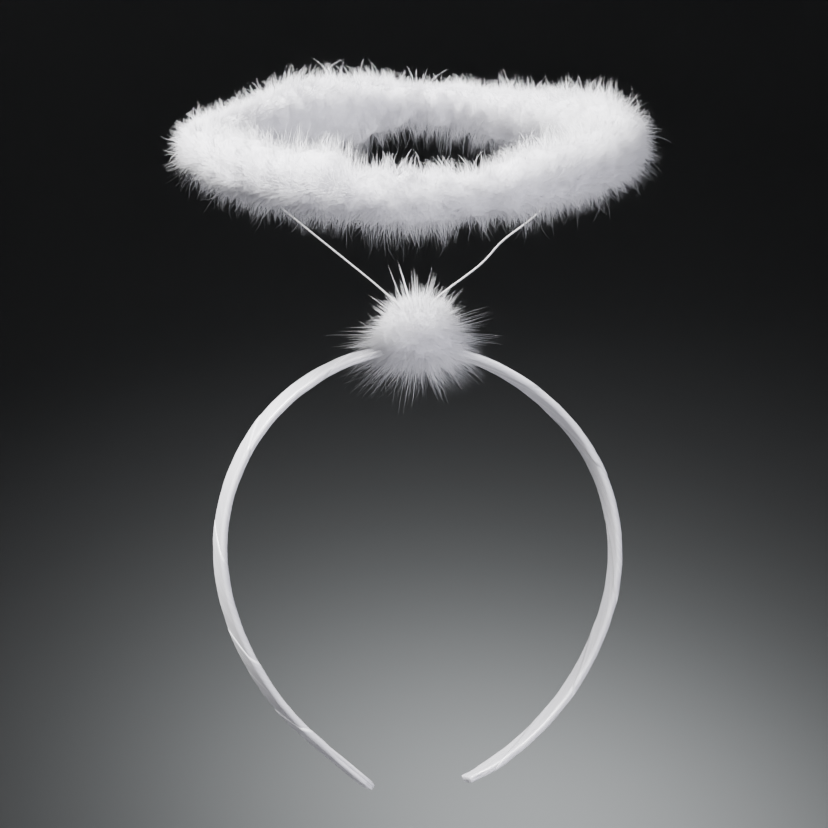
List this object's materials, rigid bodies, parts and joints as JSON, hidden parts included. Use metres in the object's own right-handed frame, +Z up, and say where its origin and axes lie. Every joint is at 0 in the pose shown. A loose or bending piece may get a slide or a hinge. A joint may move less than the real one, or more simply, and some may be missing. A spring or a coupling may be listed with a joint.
{
  "type": "halo headband",
  "caption": "Costume halo headband: satin-wound alice band with a marabou puff on its crown and a marabou halo ring on a white wire V.",
  "frame": {"origin": "middle of the underside of the band's crown, where it sits on the head", "axes": "+Z up as worn, X across the head from side to side, front towards -Y; the halo stands turned 15 degrees about Z and its ring is tipped down at the front"},
  "size_m": [0.1562, 0.1503, 0.2379],
  "materials": {
    "strip_plastic": "satin white",
    "satin_ribbon": "satin weave",
    "coated_wire": "white paper or plastic covering on steel wire",
    "marabou": "loose white down"
  },
  "bodies": {
    "root": {"band_core": "strip_plastic", "band_ribbon": "satin_ribbon", "halo_wire": "coated_wire", "halo_boa": "marabou", "crown_puff": "marabou"}
  },
  "joints": []
}
